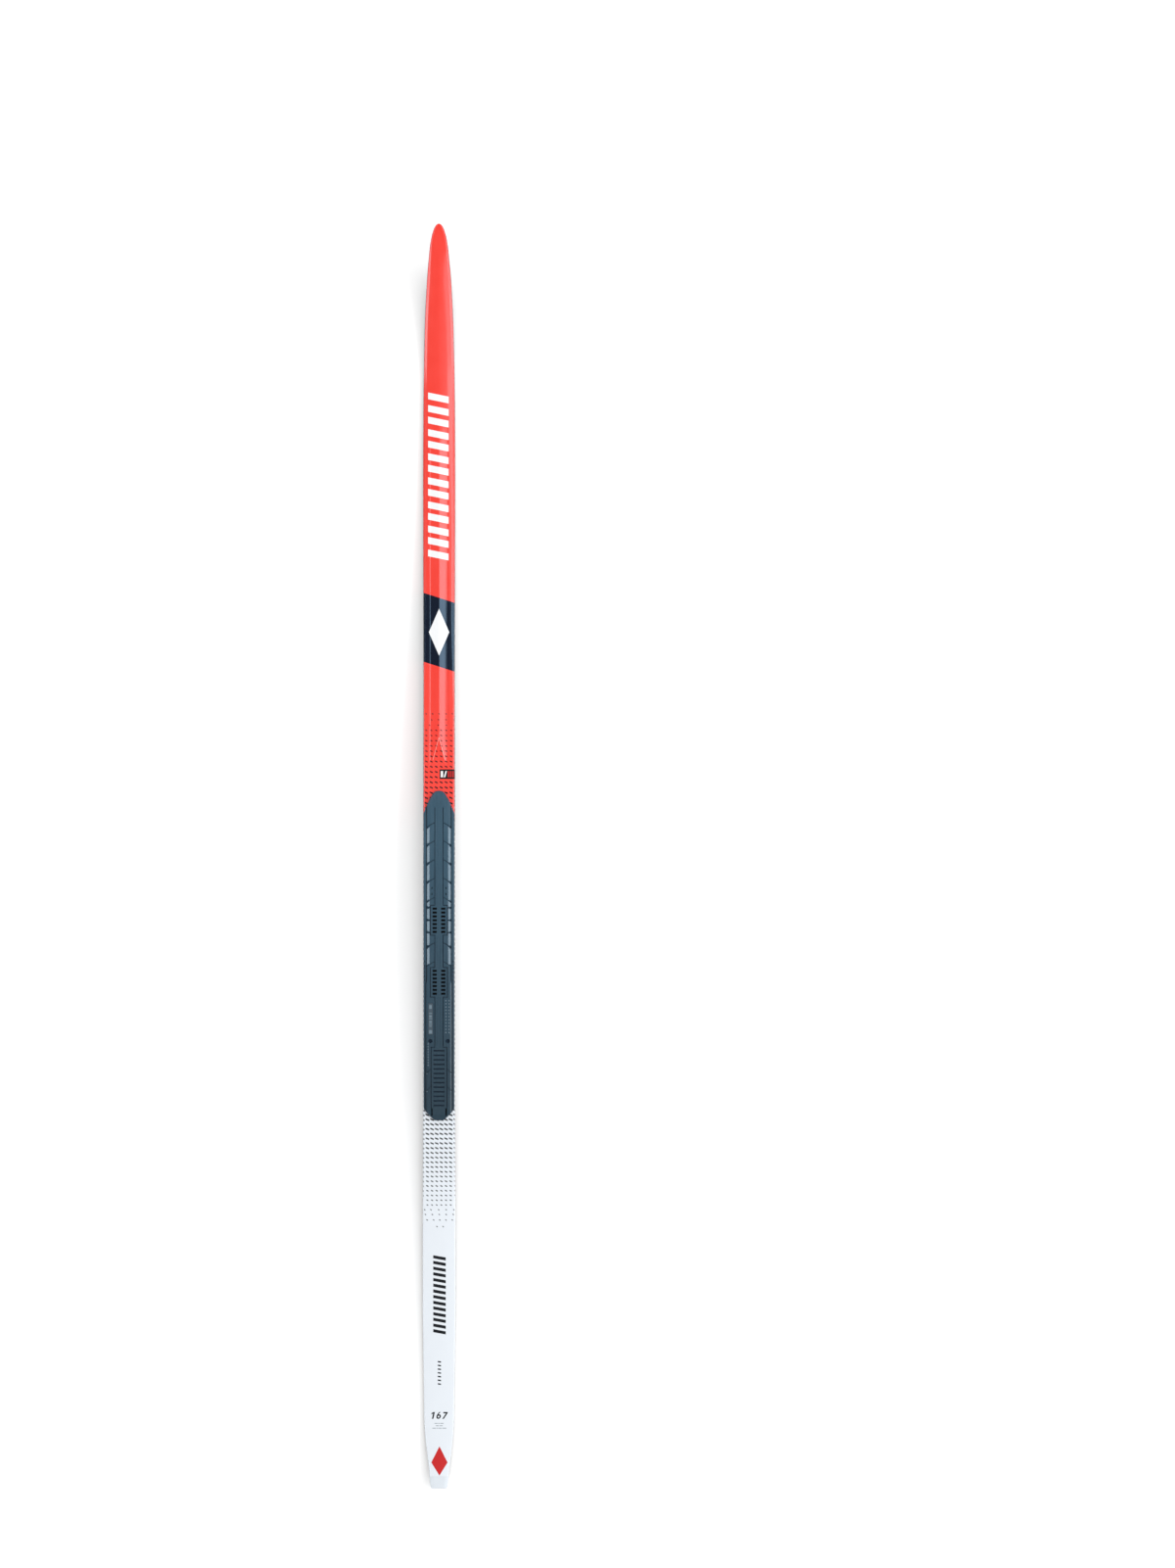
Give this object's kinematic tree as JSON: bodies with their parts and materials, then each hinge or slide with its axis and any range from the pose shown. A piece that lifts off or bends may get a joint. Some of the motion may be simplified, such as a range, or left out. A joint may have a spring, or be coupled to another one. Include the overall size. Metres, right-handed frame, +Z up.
{
  "type": "cross country ski",
  "caption": "Slim laminated ski with a rising tip, an arched base, a roof-ridged printed cap and a long moulded binding plate.",
  "frame": {"origin": "middle of the bounding box, on the floor the ski lies on", "axes": "+Y along the ski towards the tip, +X across the ski, +Z up"},
  "size_m": [0.0438, 1.6699, 0.0628],
  "materials": {
    "cap_print": "gloss print under clear plastic",
    "base_black": "stone ground",
    "glass_fibre": "resin laminate",
    "strip_black": "satin",
    "core_wood": "planed",
    "reinforcement": "phenolic sheet",
    "spacer": "moulded",
    "guard": "satin",
    "plate": "moulded, satin",
    "adhesive": "film",
    "label": "printed film"
  },
  "bodies": {
    "root": {"running_base": "base_black", "base_laminate": "glass_fibre", "edge_strip_left": "strip_black", "edge_strip_right": "strip_black", "core_stringer_left": "core_wood", "core_stringer_centre": "core_wood", "core_stringer_right": "core_wood", "binding_reinforcement": "reinforcement", "tail_spacer": "spacer", "tip_spacer": "spacer", "top_laminate": "glass_fibre", "topsheet": "cap_print", "tail_guard": "guard", "binding_plate": "plate", "plate_adhesive": "adhesive", "plate_label": "label"}
  },
  "joints": []
}
